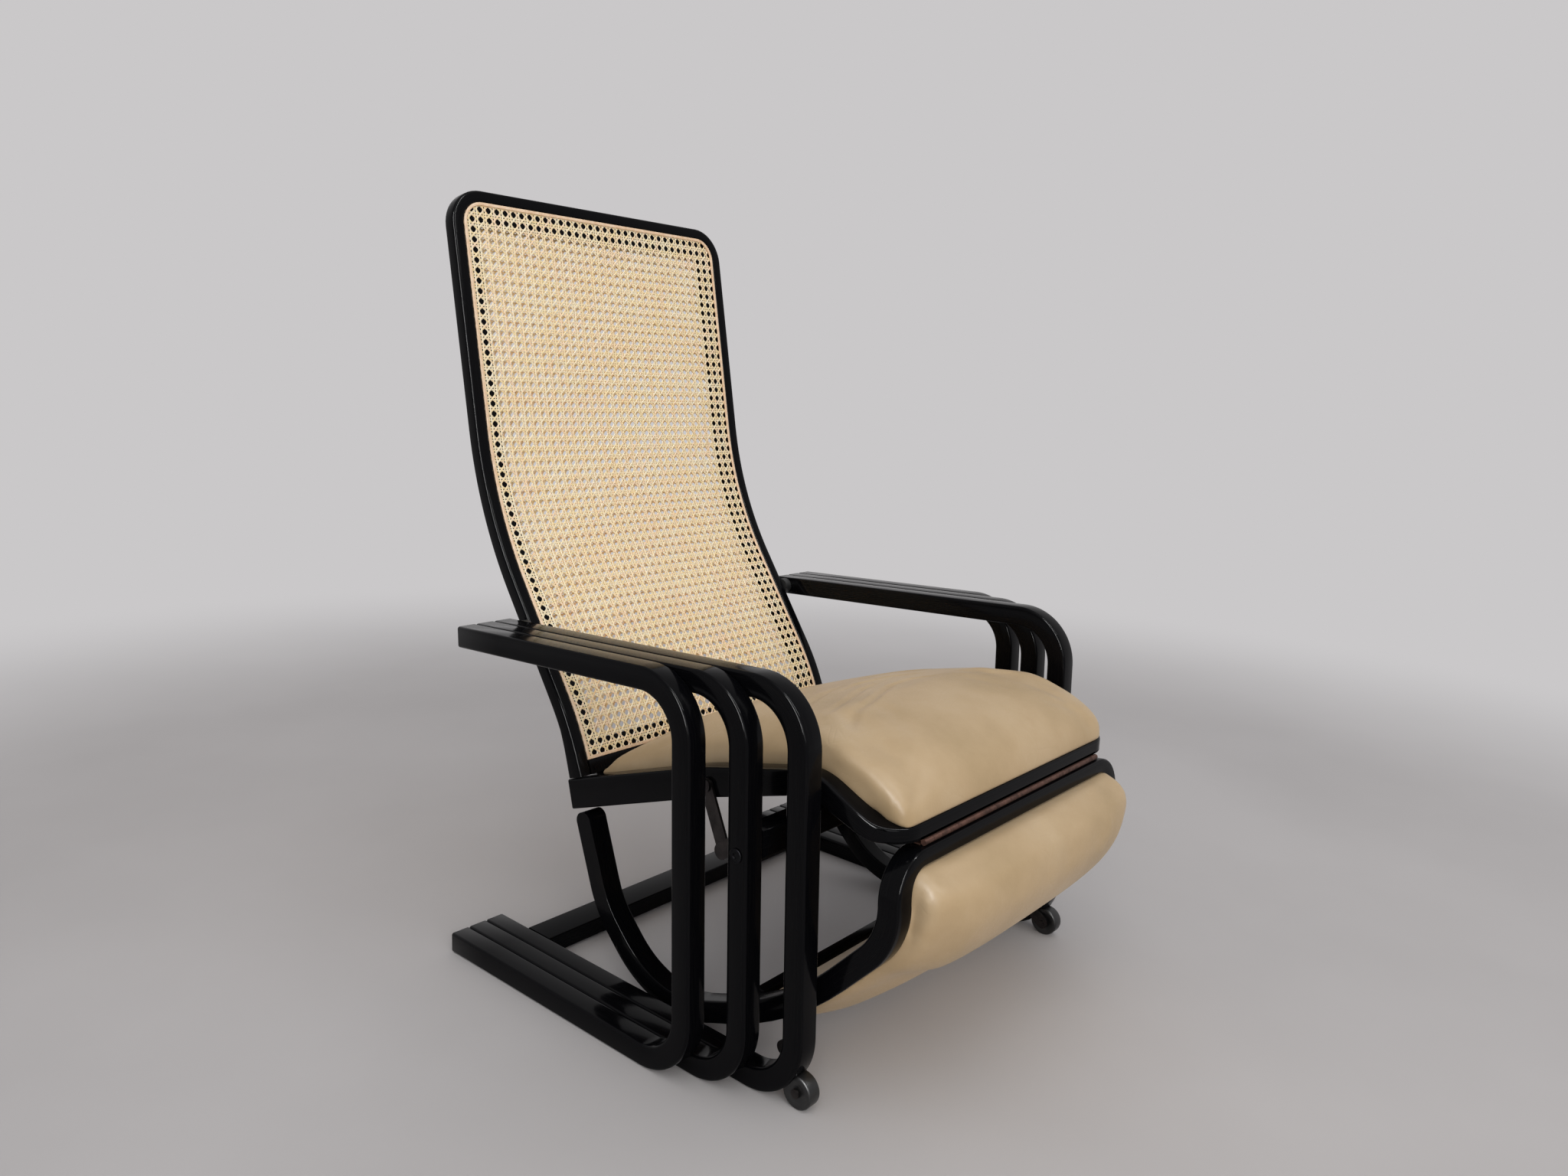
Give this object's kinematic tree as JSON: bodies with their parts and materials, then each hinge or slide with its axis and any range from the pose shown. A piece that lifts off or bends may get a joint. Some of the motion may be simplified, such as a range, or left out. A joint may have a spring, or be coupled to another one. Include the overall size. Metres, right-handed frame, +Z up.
{
  "type": "bentwood reclining armchair",
  "caption": "Bentwood reclining armchair: looped black side frames, tall curved caned back, crowned leather seat and a footrest folded under the seat on a long front hinge.",
  "frame": {"origin": "on the floor, at the middle of the chair's outline seen from above", "axes": "+Z up; the chair faces -Y; the sitter's right hand is at -X"},
  "size_m": [0.645, 0.7715, 0.93],
  "materials": {
    "lacquered_wood": "satin black lacquer over bent laminated wood",
    "leather": "soft tan leather, lightly creased",
    "cane": "woven cane, matt",
    "spline": "split cane spline",
    "plywood": "brown stained plywood",
    "bronze": "dull aged long hinge",
    "steel": "dark steel",
    "wheel_rubber": "black rubber",
    "spacer": "black fibre washer"
  },
  "bodies": {
    "frame": {"frame_outer_strip_right": "lacquered_wood", "frame_middle_strip_right": "lacquered_wood", "frame_inner_strip_right": "lacquered_wood", "beam_bolt_right": "steel", "wheel_plate_right": "steel", "wheel_axle_right": "steel", "pivot_pin_right": "steel", "pivot_spacer_right": "spacer", "link_bracket_right": "steel", "link_lower_pin_right": "steel", "frame_outer_strip_left": "lacquered_wood", "frame_middle_strip_left": "lacquered_wood", "frame_inner_strip_left": "lacquered_wood", "beam_bolt_left": "steel", "wheel_plate_left": "steel", "wheel_axle_left": "steel", "pivot_pin_left": "steel", "pivot_spacer_left": "spacer", "link_bracket_left": "steel", "link_lower_pin_left": "steel", "rear_stretcher": "lacquered_wood", "front_beam": "lacquered_wood"},
    "back": {"back_frame": "lacquered_wood", "back_bottom_rail": "lacquered_wood", "back_cane_front": "cane", "back_cane_rear": "cane", "back_spline_front": "spline", "back_spline_rear": "spline", "rear_hinge_back_leaf": "steel"},
    "seat": {"link_upper_pin_right": "steel", "link_upper_pin_left": "steel", "seat_frame": "lacquered_wood", "seat_rear_rail": "lacquered_wood", "seat_panel": "plywood", "seat_cushion": "leather", "front_hinge_seat_leaf": "bronze", "front_hinge_pin": "bronze", "rear_hinge_seat_leaf": "steel", "rear_hinge_pin": "steel"},
    "footrest": {"footrest_frame": "lacquered_wood", "footrest_cross_rail": "lacquered_wood", "footrest_cushion": "leather", "front_hinge_footrest_leaf": "bronze"},
    "wheel_right": {"wheel_right": "wheel_rubber"},
    "wheel_left": {"wheel_left": "wheel_rubber"},
    "strap_right": {"strap_link_right": "steel"},
    "strap_left": {"strap_link_left": "steel"}
  },
  "joints": [
    {"name": "recline", "type": "hinge", "parent": "frame", "child": "back", "pos_m": [0, 0.21139, 0.40427], "axis": [-1, 0, 0], "range_deg": [0, 12]},
    {"name": "seat_tilt", "type": "hinge", "parent": "back", "child": "seat", "pos_m": [0, 0.1385, 0.234], "axis": [-1, 0, 0], "range_deg": [-15.13, 0]},
    {"name": "footrest_swing", "type": "hinge", "parent": "seat", "child": "footrest", "pos_m": [0, -0.3372, 0.2824], "axis": [-1, 0, 0], "range_deg": [0, 130]},
    {"name": "strap_turn_right", "type": "hinge", "parent": "frame", "child": "strap_right", "pos_m": [-0.2381, -0.1262, 0.225], "axis": [-1, 0, 0], "range_deg": [-30.84, 0]},
    {"name": "strap_turn_left", "type": "hinge", "parent": "frame", "child": "strap_left", "pos_m": [0.2381, -0.1262, 0.225], "axis": [-1, 0, 0], "range_deg": [-30.84, 0]},
    {"name": "wheel_turn_right", "type": "hinge", "parent": "frame", "child": "wheel_right", "pos_m": [-0.2566, -0.2583, 0.018], "axis": [-1, 0, 0], "continuous": true},
    {"name": "wheel_turn_left", "type": "hinge", "parent": "frame", "child": "wheel_left", "pos_m": [0.2566, -0.2583, 0.018], "axis": [-1, 0, 0], "continuous": true}
  ],
  "couplings": [
    {"joint": "seat_tilt", "follows": "recline", "ratio": -1.2188},
    {"joint": "strap_turn_right", "follows": "recline", "ratio": -2.5283},
    {"joint": "strap_turn_left", "follows": "recline", "ratio": -2.5283}
  ]
}
